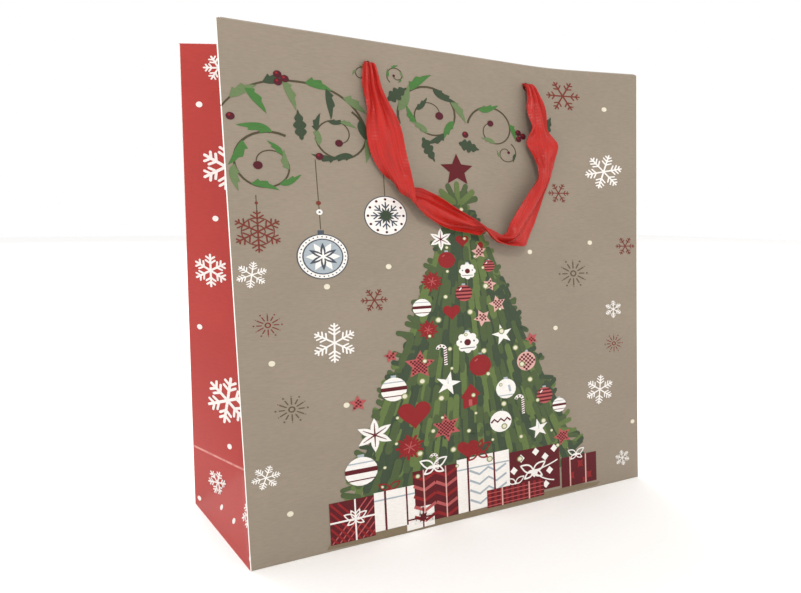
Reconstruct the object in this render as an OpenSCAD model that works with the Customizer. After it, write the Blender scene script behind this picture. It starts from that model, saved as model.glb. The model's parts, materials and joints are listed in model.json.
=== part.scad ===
// Paper gift bag with folded side gussets and two wide satin ribbon handles.
// Origin: bottom centre. +Z up, the printed front faces -Y, units are millimetres.
// The mouth stands partly closed, as a filled and set-down bag does.

/* [Bag] */
// Width of the front and back
bag_w = 330; // [260:5:400]
// Height of the front and back, measured along the paper
bag_h = 320; // [280:5:400]
// Depth of the bottom, front to back
bag_d = 120; // [100:5:150]
// Gap between front and back at the mouth
mouth_gap = 78; // [60:1:90]
// Thickness of the printed paper
paper_t = 0.4; // [0.3:0.05:0.5]

/* [Turned top] */
// Depth of the paper turned in at the mouth
hem_h = 40; // [30:1:60]
// Thickness of the card that stiffens the turned top
card_t = 0.8; // [0.6:0.1:0.9]
// Height of the stiffening card
card_h = 34; // [24:1:40]

/* [Bottom] */
// Thickness of the loose base board
board_t = 1.6; // [1:0.1:2]
// How far each side tuck reaches under the board
tuck_reach = 58; // [40:1:80]
// Width of the glued side seam
seam_w = 16; // [12:1:20]

/* [Handles] */
// Distance of the handle holes below the top edge
hole_drop = 16; // [14:1:24]
// Distance between the two holes of one handle
hole_gap = 134; // [110:2:150]
// Diameter of each handle hole
hole_dia = 6; // [5:0.5:8]
// Width of the satin ribbon
ribbon_w = 25; // [18:1:30]
// Width of the ribbon where it is gathered into its hole
gather_w = 13; // [8:1:16]
// Thickness of the creased ribbon
ribbon_t = 2; // [1.5:0.1:2.2]
// Diameter of each knot inside the bag
knot_dia = 10.4; // [9:0.2:11]

/* [Hidden] */

// The gusset is three flat pieces: a middle triangle that leans on the bottom edge, and two side
// folds that turn on its slanting edges. Their angles follow from how far the front leans.
half_d = bag_d / 2;
panel_lean = asin((half_d - mouth_gap / 2) / bag_h);
slant = norm([half_d, bag_h]);
fold_turn = acos(1 - sin(panel_lean) * slant * slant / (half_d * bag_h));
middle_lean = atan(
    (half_d / slant) * sin(fold_turn)
    / (cos(fold_turn) + pow(bag_h / slant, 2) * (1 - cos(fold_turn)))
);
hole_z = bag_h - hole_drop;

corner_gap = 5;       // a side fold stops this far from its corner
crease_gap = 1;       // the two sides of a slanting crease stop this far from it
tip_cut = 10;         // each fold is cut back this far from the point where the creases meet
floor_gap = 0.3;      // the walls end this far above the floor
wall_gap = 1.2;       // the bottom pieces stop this far inside the walls
hem_inset = 14;       // the turned top of front and back stops this far from the corners
hinge_out = 2;        // the handle turns on a line this far in front of the paper
hem_clear = 2;        // the gussets' turned top stops this far inside the edges of its fold
tail_w = 8;           // each cut tail of a knot: width, length and thickness
tail_l = 20;
tail_t = 1;

paper = [0.62, 0.56, 0.49];
lining = [0.95, 0.94, 0.91];
red_paper = [0.78, 0.2, 0.17];
grey_board = [0.72, 0.7, 0.66];
satin = [0.85, 0.2, 0.16];

// Middle line of the hanging ribbon, across and up the front, with its width at each point
handle_route = [
    [-hole_gap / 2, hole_z, gather_w],
    [-62, hole_z - 14, 0.85 * ribbon_w],
    [-60, hole_z - 40, ribbon_w],
    [-56, hole_z - 60, ribbon_w],
    [-42, hole_z - 78, 0.75 * ribbon_w],
    [-20, hole_z - 92, 0.65 * ribbon_w],
    [2, hole_z - 100, 0.6 * ribbon_w],
    [22, hole_z - 107, 0.6 * ribbon_w],
    [38, hole_z - 107, 0.7 * ribbon_w],
    [52, hole_z - 96, ribbon_w],
    [66, hole_z - 74, ribbon_w],
    [73, hole_z - 50, 0.9 * ribbon_w],
    [70, hole_z - 24, 0.8 * ribbon_w],
    [hole_gap / 2, hole_z, gather_w]
];

// Places a piece that is drawn flat, x across, y inwards and z up, on the leaning front
module on_front() {
    translate([0, -half_d, 0]) rotate([-panel_lean, 0, 0]) children();
}

module on_back() {
    rotate([0, 0, 180]) on_front() children();
}

// A flat piece with its outline across and up, from depth y0 inwards
module sheet(y0, thick) {
    translate([0, y0 + thick, 0]) rotate([90, 0, 0]) linear_extrude(thick) children();
}

module hole_discs(dia) {
    for (side = [-1, 1]) translate([side * hole_gap / 2, hole_z]) circle(d = dia, $fn = 32);
}

module wall_sheet() {
    sheet(0, paper_t) difference() {
        translate([-bag_w / 2, floor_gap]) square([bag_w, bag_h - floor_gap]);
        hole_discs(hole_dia);
    }
}

module top_strip(depth, thick, height, drop) {
    sheet(depth, thick) difference() {
        translate([-bag_w / 2 + hem_inset, bag_h - drop - height])
            square([bag_w - 2 * hem_inset, height]);
        hole_discs(hole_dia);
    }
}

// A knot holds the ribbon end behind its hole, and two short tails hang from it
module knot(side) {
    back_of_hem = 2 * paper_t + card_t;
    into_knot = 2;    // the neck through the hole reaches this far into the knot
    proud = 0.4;      // and stands this far out in front of the paper
    neck_d = hole_dia - 1;
    tail_top = 2;     // the tails leave the knot this far below its middle
    translate([side * hole_gap / 2, 0, hole_z]) {
        translate([0, back_of_hem + knot_dia / 2, 0]) sphere(d = knot_dia, $fn = 32);
        translate([0, back_of_hem + into_knot, 0]) rotate([90, 0, 0])
            cylinder(d = neck_d, h = back_of_hem + into_knot + proud, $fn = 32);
        for (turn = [-16, 14]) rotate([0, turn, 0])
            translate([-tail_w / 2, back_of_hem + knot_dia / 2 - tail_t + turn / 20, -tail_l - tail_top])
                cube([tail_w, tail_t, tail_l]);
    }
}

// Unit direction along the route at point i
function route_way(p, i) =
    let (
        a = p[max(i - 1, 0)],
        b = p[min(i + 1, len(p) - 1)],
        step = [b[0] - a[0], b[1] - a[1]]
    )
    i == 0 || i == len(p) - 1 ? [0, i == 0 ? -1 : 1] : step / norm(step);

function route_side(p, side) = [
    for (i = [0 : len(p) - 1])
        let (way = route_way(p, i))
        [p[i][0] - side * way[1] * p[i][2] / 2, p[i][1] + side * way[0] * p[i][2] / 2]
];

function reversed(list) = [for (i = [len(list) - 1 : -1 : 0]) list[i]];

// The ribbon hangs in front of the paper and turns on the line through its two holes
module hanging_ribbon() {
    sheet(-hinge_out - ribbon_t / 2, ribbon_t)
        polygon(concat(route_side(handle_route, -1), reversed(route_side(handle_route, 1))));
    for (side = [-1, 1]) translate([side * hole_gap / 2, -hinge_out, hole_z])
        rotate([0, 90, 0]) cylinder(d = ribbon_t, h = gather_w, center = true, $fn = 32);
}

// Places a flat piece, y across and z up, on the leaning left gusset
module on_gusset() {
    translate([-bag_w / 2, 0, 0]) rotate([0, middle_lean, 0]) children();
}

module gusset_sheet(x0, thick) {
    translate([x0, 0, 0]) rotate([90, 0, 90]) linear_extrude(thick) children();
}

// Turns a flat piece about the slanting crease that rises from the bottom corner
module turned_on_crease() {
    translate([0, -half_d, 0]) rotate(a = -fold_turn, v = [0, half_d, bag_h])
        translate([0, half_d, 0]) children();
}

// Distance across the gusset from its middle line to the slanting crease at height z
function crease_y(z) = half_d * (1 - z / bag_h);

module gusset_middle() {
    foot = 2;
    foot_inset = 3;
    head = bag_h - 3 * tip_cut;
    on_gusset() gusset_sheet(0, paper_t) polygon([
        [-crease_y(foot) + foot_inset, foot], [crease_y(foot) - foot_inset, foot],
        [crease_y(head) - crease_gap, head], [-crease_y(head) + crease_gap, head]
    ]);
}

// The front side fold: a long triangle between the slanting crease and the corner
module side_fold() {
    foot_w = 2;       // width of the fold at its lowest point
    tip_drop = 10;    // the fold's tip is cut this far below the crease's line
    foot = bag_h * (corner_gap + crease_gap + foot_w) / half_d;
    on_gusset() turned_on_crease() gusset_sheet(-paper_t, paper_t) polygon([
        [-half_d + corner_gap, foot],
        [-crease_y(foot) - crease_gap, foot],
        [-tip_cut, bag_h * (half_d - tip_cut + crease_gap) / half_d - tip_drop],
        [-tip_cut, bag_h],
        [-half_d + corner_gap, bag_h]
    ]);
}

module side_fold_hem() {
    tip_gap = 1;
    tip_slope = 8;    // the inner edge starts to slant this far below the mouth
    inner = -crease_y(bag_h - hem_h) - crease_gap - tip_gap;
    on_gusset() turned_on_crease() gusset_sheet(0, paper_t) polygon([
        [-half_d + corner_gap + hem_clear, bag_h - hem_h],
        [inner, bag_h - hem_h],
        [-tip_cut - tip_gap, bag_h - tip_slope],
        [-tip_cut - tip_gap, bag_h],
        [-half_d + corner_gap + hem_clear, bag_h]
    ]);
}

module rear_of() {
    mirror([0, 1, 0]) children();
}

module right_of() {
    mirror([1, 0, 0]) children();
}

module front_panel() { color(paper) on_front() wall_sheet(); }
module back_panel() { color(paper) on_back() wall_sheet(); }
module front_top_card() { color(grey_board) on_front() top_strip(paper_t, card_t, card_h, 1); }
module back_top_card() { color(grey_board) on_back() top_strip(paper_t, card_t, card_h, 1); }
module front_top_hem() { color(lining) on_front() top_strip(paper_t + card_t, paper_t, hem_h, 0); }
module back_top_hem() { color(lining) on_back() top_strip(paper_t + card_t, paper_t, hem_h, 0); }
module front_left_knot() { color(satin) on_front() knot(-1); }
module front_right_knot() { color(satin) on_front() knot(1); }
module back_left_knot() { color(satin) on_back() knot(1); }
module back_right_knot() { color(satin) on_back() knot(-1); }

// Glued lap of the paper, inside the back panel near its right corner
module side_seam_flap() {
    start = 7;        // distance from the corner
    end_gap = 4;      // distance from the bottom and from the turned top
    color(lining) on_back() sheet(paper_t, paper_t)
        translate([-bag_w / 2 + start, end_gap]) square([seam_w, bag_h - hem_h - 2 * end_gap]);
}

module left_gusset_middle() { color(red_paper) gusset_middle(); }
module left_gusset_front_fold() { color(red_paper) side_fold(); }
module left_gusset_rear_fold() { color(red_paper) rear_of() side_fold(); }
module left_front_gusset_hem() { color(lining) side_fold_hem(); }
module left_rear_gusset_hem() { color(lining) rear_of() side_fold_hem(); }
module right_gusset_middle() { color(red_paper) right_of() gusset_middle(); }
module right_gusset_front_fold() { color(red_paper) right_of() side_fold(); }
module right_gusset_rear_fold() { color(red_paper) right_of() rear_of() side_fold(); }
module right_front_gusset_hem() { color(lining) right_of() side_fold_hem(); }
module right_rear_gusset_hem() { color(lining) right_of() rear_of() side_fold_hem(); }

// The front's bottom flap is outermost and covers nearly the whole bottom
module bottom_outer_flap() {
    short_by = 12;
    color(paper) translate([-bag_w / 2 + wall_gap, -half_d + wall_gap, 0])
        cube([bag_w - 2 * wall_gap, bag_d - short_by, paper_t]);
}

module bottom_inner_flap() {
    share = 0.65;     // of the bottom's depth
    reach = share * bag_d;
    color(paper) translate([-bag_w / 2 + wall_gap, half_d - wall_gap - reach, paper_t])
        cube([bag_w - 2 * wall_gap, reach, paper_t]);
}

// The gusset's own bottom flap, cut slanting at both corners
module bottom_tuck() {
    root_y = half_d - wall_gap;
    slant_in = 30;
    color(red_paper) translate([-bag_w / 2 + wall_gap, 0, 2 * paper_t])
        linear_extrude(paper_t) polygon([
            [0, -root_y], [tuck_reach, -root_y + slant_in], [tuck_reach, root_y - slant_in], [0, root_y]
        ]);
}

module left_bottom_tuck() { bottom_tuck(); }
module right_bottom_tuck() { right_of() bottom_tuck(); }

module base_board() {
    loose = 0.8;      // so that the board can be lifted out
    inset = wall_gap + loose;
    color(grey_board) translate([-bag_w / 2 + inset, -half_d + inset, 3 * paper_t])
        cube([bag_w - 2 * inset, bag_d - 2 * inset, board_t]);
}

module front_handle_ribbon() { color(satin) on_front() hanging_ribbon(); }
module back_handle_ribbon() { color(satin) on_back() hanging_ribbon(); }

front_panel();
front_top_hem();
front_top_card();
front_left_knot();
front_right_knot();
back_panel();
side_seam_flap();
back_top_hem();
back_top_card();
back_left_knot();
back_right_knot();
left_gusset_middle();
left_gusset_front_fold();
left_gusset_rear_fold();
left_front_gusset_hem();
left_rear_gusset_hem();
right_gusset_middle();
right_gusset_front_fold();
right_gusset_rear_fold();
right_front_gusset_hem();
right_rear_gusset_hem();
bottom_outer_flap();
bottom_inner_flap();
left_bottom_tuck();
right_bottom_tuck();
base_board();
front_handle_ribbon();
back_handle_ribbon();
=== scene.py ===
"""The looks of a printed paper gift bag with two satin ribbon handles, built round its CAD frame.

The bag is drawn in millimetres: a point on the front or back is (across, up, out), measured along
the paper from the middle of its bottom edge, and a point on a gusset is (from the corner, up, out).
"""
import json
import random
from math import asin, atan2, ceil, cos, degrees, exp, floor, hypot, log, pi, radians, sin, sqrt

import bmesh
import bpy
from mathutils import Matrix, Vector, noise


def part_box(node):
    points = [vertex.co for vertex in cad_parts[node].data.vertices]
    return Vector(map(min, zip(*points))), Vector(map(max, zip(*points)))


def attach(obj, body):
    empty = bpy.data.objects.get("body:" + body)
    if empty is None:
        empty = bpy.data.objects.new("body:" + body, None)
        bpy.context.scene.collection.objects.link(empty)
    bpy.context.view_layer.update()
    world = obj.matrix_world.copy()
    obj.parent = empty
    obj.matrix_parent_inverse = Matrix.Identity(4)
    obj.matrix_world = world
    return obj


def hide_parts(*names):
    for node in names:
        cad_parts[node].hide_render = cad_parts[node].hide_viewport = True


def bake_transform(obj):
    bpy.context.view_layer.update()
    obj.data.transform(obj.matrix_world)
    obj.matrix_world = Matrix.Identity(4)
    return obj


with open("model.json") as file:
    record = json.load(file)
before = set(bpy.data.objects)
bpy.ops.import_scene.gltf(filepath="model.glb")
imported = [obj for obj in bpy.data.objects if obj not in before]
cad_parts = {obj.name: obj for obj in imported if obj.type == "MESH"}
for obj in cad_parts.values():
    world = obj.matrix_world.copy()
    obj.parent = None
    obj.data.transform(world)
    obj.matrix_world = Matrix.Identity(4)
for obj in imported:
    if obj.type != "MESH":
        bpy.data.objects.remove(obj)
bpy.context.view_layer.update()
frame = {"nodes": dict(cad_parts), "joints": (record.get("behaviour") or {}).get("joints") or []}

bl_info = {
    "name": "Paper gift bag",
    "version": (1, 0, 0),
    "blender": (4, 5, 0),
    "location": "View3D > Sidebar > Gift Bag",
    "description": "Builds the paper, the print and the ribbons of a gift bag round its CAD frame",
    "category": "Object",
}

MM = 0.001          # the bag is drawn in millimetres and Blender works in metres
CELL = 5.0          # side of the squares that paper and print are bent on
INK_LIFT = 0.12     # how far the lowest ink stands off the paper
LEVEL_LIFT = 0.05   # how far one ink stands off the ink below it
SHAPE_LIFT = 0.002  # how far neighbouring shapes on one level are kept apart
INK_THICK = 0.1     # thickness of the ink's thin shells
WIDE, TALL = 1.13, 0.885    # the print's motifs are drawn wider than high
PUSH_POWER = 1.6    # how a wall's dent or bow grows from nothing at the bottom to the mouth
KNEE_SHARE = 0.91   # height of the gusset's middle fold at its crease, as a share of the crease's
TREE_TIP, TREE_SPREAD = 234, 0.5    # height of the tree's point, and its half width per height


def srgb(code):
    """An sRGB hex colour as linear red, green and blue."""
    parts = [int(code[i:i + 2], 16) / 255 for i in (1, 3, 5)]
    return tuple(p / 12.92 if p <= 0.04045 else ((p + 0.055) / 1.055) ** 2.4 for p in parts)


def joint(name):
    return next(j for j in frame["joints"] if j["name"] == name)


# ---------------------------------------------------------------- sizes and colours

PANEL_LOW, PANEL_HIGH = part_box("front_panel")
HALF_DEPTH = -joint("mouth_closing")["pos_m"][1]


def length_property(title, text, size):
    return bpy.props.FloatProperty(name=title, description=text, default=size, unit="LENGTH")


def colour_property(title, text, code):
    return bpy.props.FloatVectorProperty(
        name=title, description=text, default=srgb(code), subtype="COLOR", min=0, max=1)


class BagSizes(bpy.types.PropertyGroup):
    """Sizes of the paper and the ribbon, in metres."""

    width: length_property("Width", "Width of the front", PANEL_HIGH.x - PANEL_LOW.x)
    depth: length_property("Depth", "Depth of the bottom, front to back", 2 * HALF_DEPTH)
    paper: length_property("Paper", "Thickness of the printed paper", 0.0004)
    card: length_property("Card", "Thickness of the card in the turned top", 0.0008)
    hem: length_property("Turned top", "Depth of the paper turned in at the mouth", 0.040)
    card_height: length_property("Card height", "Height of the card in the turned top", 0.034)
    racking: length_property("Racking", "How far the mouth stands to one side of the bottom", -0.007)
    dent: length_property("Dent", "How far the mouth's edge is pushed in beside the handle", 0.015)
    dent_place: length_property("Dent place", "Distance of the dent from the middle", 0.092)
    corner_out: length_property("Corner", "How far the mouth's right corner stands out", 0.004)
    bow: length_property("Bow", "How far the back's mouth bows outwards", 0.003)
    crease: length_property("Crease", "Height of the crease across each gusset", 0.045)
    crease_in: length_property("Crease depth", "How far that crease is pushed in", 0.0186)
    fold_high: length_property("Fold height", "Height of the gusset's middle fold at the mouth", 0.3165)
    hole: length_property("Hole", "Diameter of a handle hole", 0.006)
    ribbon_width: length_property("Ribbon width", "Width of the satin ribbon laid flat", 0.025)
    ribbon_thick: length_property("Ribbon thickness", "Thickness of the satin ribbon", 0.0004)


class BagColours(bpy.types.PropertyGroup):
    """Colours of the papers, the inks and the ribbon."""

    kraft: colour_property("Kraft", "Printed brown of the front and back", "#887d6f")
    red_paper: colour_property("Red paper", "Printed red of the gussets", "#a33833")
    lining: colour_property("Lining", "Unprinted inside of the paper", "#eeece7")
    board: colour_property("Board", "Recycled board in the bottom", "#a9a49a")
    satin: colour_property("Satin", "Ribbon handles", "#a81f18")
    white: colour_property("White ink", "Snowflakes, bows and baubles", "#dfdcd8")
    cream: colour_property("Cream ink", "Lights on the tree", "#d2ccb8")
    red: colour_property("Red ink", "Baubles and hearts", "#821c1f")
    maroon: colour_property("Maroon ink", "Star, bands and darkest presents", "#541119")
    rose: colour_property("Rose ink", "Checks and stripes", "#a55050")
    pink: colour_property("Pink ink", "Pale checks", "#c89c94")
    rust: colour_property("Rust ink", "Small red-brown snowflakes", "#6d3026")
    olive: colour_property("Olive ink", "Round bursts", "#564c3a")
    stem: colour_property("Stem ink", "Lines of the scrollwork", "#463f2d")
    leaf: colour_property("Leaf ink", "Bright leaves", "#3f6b34")
    sage: colour_property("Sage ink", "Pale leaves", "#5f724c")
    forest: colour_property("Forest ink", "Dark leaves", "#34412f")
    fir_light: colour_property("Light fir ink", "Lightest branches", "#5a6b3c")
    fir: colour_property("Fir ink", "Middle branches", "#465535")
    fir_dark: colour_property("Dark fir ink", "Darkest branches", "#384533")
    berry: colour_property("Berry ink", "Berries of the scrollwork", "#49131f")
    frost: colour_property("Frost ink", "Blue-grey of the glass baubles", "#9aa4ab")
    slate: colour_property("Slate ink", "Lines on the baubles", "#434a54")
    shade: colour_property("Shade ink", "Printed shadow under the presents", "#776a55")
    glow: colour_property("Glow ink", "Halo round each light", "#77834f")


# ---------------------------------------------------------------- the bag's surfaces


class Bag:
    """The bag's curved surfaces at rest, in millimetres."""

    def __init__(self, sizes):
        self.half_width = sizes.width / 2 / MM
        self.half_depth = sizes.depth / 2 / MM
        self.paper = sizes.paper / MM
        self.card = sizes.card / MM
        self.racking = sizes.racking / MM
        self.dent, self.dent_place = sizes.dent / MM, sizes.dent_place / MM
        self.corner_out, self.bow = sizes.corner_out / MM, sizes.bow / MM
        self.crease, self.crease_in = sizes.crease / MM, sizes.crease_in / MM
        self.fold_high = sizes.fold_high / MM
        rise, run = PANEL_HIGH.z, HALF_DEPTH + PANEL_HIGH.y - sizes.paper
        self.lean = atan2(run, rise)
        self.height = rise / cos(self.lean) / MM
        hinge = joint("front_handle_swing")["pos_m"]
        self.hole_up = (hinge[2] * cos(self.lean) + (hinge[1] + HALF_DEPTH) * sin(self.lean)) / MM
        knot_low, knot_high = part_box("front_right_knot")
        self.hole_across = round((knot_low.x + knot_high.x) / 2 / MM)

    def pushed_in(self, side, across, up):
        """How far the wall stands inside its flat, leaning plane."""
        share = max(up, 0) / self.height
        if side == "back":
            return -self.bow * cos(pi * across / 2 / self.half_width) * share ** PUSH_POWER
        rising = self.dent * (across + self.half_width) / (self.dent_place + self.half_width)
        falling = self.dent - (self.dent + self.corner_out) * (
            (across - self.dent_place) / (self.half_width - self.dent_place))
        softness = 3.0
        smaller = -softness * log(exp(-rising / softness) + exp(-falling / softness))
        return smaller * share ** PUSH_POWER

    def wall(self, side, across, up, out=0.0):
        """A point of the front or back; across runs to the right of someone who faces it."""
        inward = up * sin(self.lean) + self.pushed_in(side, across, up) - out * cos(self.lean)
        turn = 1 if side == "front" else -1
        return Vector((turn * across + self.racking * up / self.height,
                       turn * (inward - self.half_depth),
                       up * cos(self.lean) + out * sin(self.lean)))

    def corner(self, end, side, up):
        return self.wall(side, end * self.half_width * (1 if side == "front" else -1), up)

    def middle_fold(self, end, up):
        """A point of the gusset's middle fold, from the crease up to the mouth."""
        front, rear = self.corner(end, "front", up), self.corner(end, "back", up)
        half = (rear.y - front.y) / 2
        inset = sqrt(max(self.half_depth ** 2 - half ** 2, 0))
        share = (up - self.crease) / (self.height - self.crease)
        inset += (self.crease_in - sqrt(self.half_depth ** 2 - self.half_at_crease ** 2)) * (1 - share)
        low = self.crease * KNEE_SHARE
        return Vector((front.x - end * inset, (front.y + rear.y) / 2,
                       low + share * (self.fold_high - low)))

    @property
    def half_at_crease(self):
        front, rear = self.corner(-1, "front", self.crease), self.corner(-1, "back", self.crease)
        return (rear.y - front.y) / 2

    def gusset_point(self, end, side, along, up):
        """A point of half a gusset: along is the distance from the front or rear corner."""
        corner, share = self.corner(end, side, up), along / self.half_depth
        if up >= self.crease:
            return corner.lerp(self.middle_fold(end, up), share)
        knee = self.middle_fold(end, self.crease)
        foot = self.corner(end, side, 0)
        rise = up / self.crease
        on_diagonal = foot.lerp(knee, rise)
        if share <= rise:
            return corner.lerp(on_diagonal, share / rise if rise else 0)
        middle = Vector((foot.x, 0, 0)).lerp(knee, rise)
        return on_diagonal.lerp(middle, (share - rise) / (1 - rise))

    def gusset(self, end, side, along, up, out=0.0):
        point = self.gusset_point(end, side, along, up)
        if not out:
            return point
        step = 0.5
        a, u = min(along, self.half_depth - step), min(up, self.height - step)
        here = self.gusset_point(end, side, a, u)
        normal = (self.gusset_point(end, side, a + step, u) - here).cross(
            self.gusset_point(end, side, a, u + step) - here).normalized()
        return point + normal * out * (-end if side == "back" else end)


# ---------------------------------------------------------------- materials


def add(tree, kind, inputs=None, **settings):
    """Adds a node with its settings; an input is a value, or a socket to link from."""
    node = tree.nodes.new("ShaderNode" + kind)
    for key, value in settings.items():
        setattr(node, key, value)
    for key, value in (inputs or {}).items():
        if isinstance(value, bpy.types.NodeSocket):
            tree.links.new(value, node.inputs[key])
        else:
            node.inputs[key].default_value = value
    return node


def blank_material(name):
    material = bpy.data.materials.get(name)
    if material:
        return material, None
    material = bpy.data.materials.new(name)
    material.use_nodes = True
    material.node_tree.nodes.clear()
    return material, material.node_tree


def opaque(colour):
    return (*colour, 1)


def close_shader(tree, base, rough, height=None, depth=0.0001, **constants):
    """Ends a material: the shader with its constants, and a bump of the given depth in metres."""
    shader = add(tree, "BsdfPrincipled", {"Base Color": base, "Roughness": rough, **constants})
    if height is not None:
        bump = add(tree, "Bump", {"Height": height, "Distance": depth, "Strength": 1.0})
        tree.links.new(bump.outputs[0], shader.inputs["Normal"])
    add(tree, "OutputMaterial", {"Surface": shader.outputs[0]})


def toned(tree, colour, pattern, dark, light):
    """The colour times a factor that runs from dark to light with the pattern."""
    scale = add(tree, "MapRange", {"Value": pattern, "From Min": 0.3, "From Max": 0.7,
                                   "To Min": dark, "To Max": light})
    return add(tree, "Mix", {0: 1.0, "A": colour, "B": scale.outputs[0]},
               data_type="RGBA", blend_type="MULTIPLY")


def fibres(tree, size_mm, stretch, detail=3):
    """Noise with grains of the given size, drawn out sideways like paper fibre."""
    place = add(tree, "TexCoord").outputs["Object"]
    per_metre = 1 / (size_mm * MM)
    drawn = add(tree, "Mapping", {
        "Vector": place, "Scale": (per_metre / stretch, per_metre / stretch, per_metre)})
    return add(tree, "TexNoise", {"Vector": drawn.outputs[0], "Scale": 1.0, "Detail": detail}).outputs[0]


def near_line(tree, value, line, width):
    """1 on a line of the given width at value = line, fading to 0 beside it."""
    away = add(tree, "Math", {0: value, 1: line}, operation="SUBTRACT")
    size = add(tree, "Math", {0: away.outputs[0]}, operation="ABSOLUTE")
    return add(tree, "MapRange", {"Value": size.outputs[0], "From Min": width, "From Max": width * 0.4,
                                  "To Min": 0.0, "To Max": 1.0}).outputs[0]


def printed_paper(name, colour, wear_and_highlight_colour, lines, rough):
    """Printed art paper: fine sideways fibre, faint clouding, and paler lines along its folds, partly rubbed
    ink and partly a painted highlight along each fold.

    lines are (UV axis, place, width, strength): the folds where the paler colour is painted, for the white of
    the paper showing and for the highlight that each fold catches.
    """
    material, tree = blank_material(name)
    if tree is None:
        return material
    fine = fibres(tree, 0.7, 7)
    cloud = fibres(tree, 38, 1.6, 2)
    base = toned(tree, opaque(colour), fine, 0.95, 1.05).outputs["Result"]
    base = toned(tree, base, cloud, 0.965, 1.035).outputs["Result"]
    uv = add(tree, "SeparateXYZ", {0: add(tree, "UVMap", uv_map="paper").outputs[0]})
    rub_and_highlight = fibres(tree, 5, 1, 4)
    # painted highlight and rubbed ink: each fold line is mixed in patches towards the paler colour
    for axis, place, width, strength in lines:
        line = near_line(tree, uv.outputs[axis], place, width)
        wear_and_highlight = add(tree, "MapRange", {"Value": rub_and_highlight, "From Min": 0.35, "From Max": 0.6,
                                      "To Min": 0.45 * strength, "To Max": strength})
        amount = add(tree, "Math", {0: line, 1: wear_and_highlight.outputs[0]}, operation="MULTIPLY")
        base = add(tree, "Mix", {0: amount.outputs[0], "A": base, "B": opaque(wear_and_highlight_colour)},
                   data_type="RGBA").outputs["Result"]
    close_shader(tree, base, rough, fine, 0.00003, **{"Specular IOR Level": 0.22})
    return material


def kraft_paper(colours, half_width):
    """Art paper printed kraft brown and matt varnished: a quiet, even brown with a linen-like grain."""
    # paler lines at both side edges and the bottom edge: rubbed ink with a painted highlight along each fold
    edges = [("X", -half_width, 0.55, 0.6), ("X", half_width, 0.55, 0.5), ("Y", 0, 0.5, 0.4)]
    lines = [(a, place * MM, width * MM, strength) for a, place, width, strength in edges]
    return printed_paper("kraft printed paper", colours.kraft, srgb("#cdbfb0"), lines, 0.72)


def red_paper(colours, crease):
    """Art paper printed red under a satin varnish: a slight shine, and pink along its folds, partly rubbed
    ink and partly a painted highlight along each fold.
    """
    # pink lines at the corner, along the crease and at the bottom: rubbed ink with a painted highlight along
    # each fold
    folds = [("X", 0, 0.6, 0.7), ("Y", crease, 1.0, 0.5), ("Y", 0, 0.6, 0.3)]
    lines = [(a, place * MM, width * MM, strength) for a, place, width, strength in folds]
    return printed_paper("red printed paper", colours.red_paper, srgb("#e9b6ac"), lines, 0.42)


def lining_paper(colours):
    """The unprinted back of the art paper: a soft, slightly uneven white."""
    material, tree = blank_material("unprinted white paper")
    if tree is not None:
        fine = fibres(tree, 0.6, 3)
        base = toned(tree, opaque(colours.lining), fine, 0.975, 1.01).outputs["Result"]
        close_shader(tree, base, 0.82, fine, 0.00004, IOR=1.5)
    return material


def recycled_board(colours):
    """Grey recycled board: dull, with dark and light flecks of old print and coarse fibre."""
    material, tree = blank_material("grey recycled board")
    if tree is not None:
        place = add(tree, "TexCoord").outputs["Object"]
        flecks = add(tree, "TexVoronoi", {"Vector": place, "Scale": 1 / (1.8 * MM)})
        coarse = fibres(tree, 1.2, 2)
        base = toned(tree, opaque(colours.board), flecks.outputs["Distance"], 0.86, 1.08).outputs["Result"]
        base = toned(tree, base, coarse, 0.92, 1.06).outputs["Result"]
        close_shader(tree, base, 0.9, coarse, 0.0001, IOR=1.5)
    return material


def ink(colours, name):
    """Offset ink on art paper: even colour that still shows the paper's fibre, with a faint shine."""
    material, tree = blank_material(name.replace("_", " ") + " offset ink")
    if tree is not None:
        fine = fibres(tree, 0.7, 7)
        base = toned(tree, opaque(getattr(colours, name)), fine, 0.93, 1.05).outputs["Result"]
        close_shader(tree, base, 0.62, fine, 0.00003, **{"Specular IOR Level": 0.22})
    return material


def satin_ribbon(colours):
    """Woven polyester satin: a smooth bright face with fine crosswise threads and long soft crease lines,
    with painted sheen and painted shade streaked lighter and darker along them.
    """
    material, tree = blank_material("woven polyester satin")
    if tree is not None:
        uv = add(tree, "UVMap", uv_map="paper").outputs[0]
        thread = 0.35 * MM    # the wave then repeats every 2.3 mm, coarse enough to show
        across = add(tree, "Mapping", {"Vector": uv, "Scale": (1, 1 / (2 * pi * thread) * 0.3, 1)})
        weave = add(tree, "TexWave", {"Vector": across.outputs[0], "Scale": 1.0, "Distortion": 0.6},
                    bands_direction="Y")
        drawn = add(tree, "Mapping", {"Vector": uv, "Scale": (1 / (1.1 * MM), 1 / (26 * MM), 1)})
        crease_and_sheen = add(tree, "TexNoise", {"Vector": drawn.outputs[0], "Scale": 1.0, "Detail": 4.0})
        # painted sheen and painted shade: the colour runs from 0.8 to 1.2 times the satin along the crease
        # streaks, as light would show them
        base = toned(tree, opaque(colours.satin), crease_and_sheen.outputs[0], 0.8, 1.2).outputs["Result"]
        rough = add(tree, "MapRange", {"Value": crease_and_sheen.outputs[0], "To Min": 0.26, "To Max": 0.4})
        height = add(tree, "Math", {0: weave.outputs[1], 1: 0.12, 2: crease_and_sheen.outputs[0]},
                     operation="MULTIPLY_ADD")
        close_shader(tree, base, rough.outputs[0], height.outputs[0], 0.0004,
                     **{"Specular IOR Level": 0.28, "Sheen Weight": 0.03, "Sheen Roughness": 0.4,
                        "Sheen Tint": opaque(srgb("#ffb0a0")), "Anisotropic": 0.4})
    return material


# ---------------------------------------------------------------- meshes


def deselect():
    if bpy.context.object and bpy.context.object.mode != "OBJECT":
        bpy.ops.object.mode_set(mode="OBJECT")
    bpy.ops.object.select_all(action="DESELECT")


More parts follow.
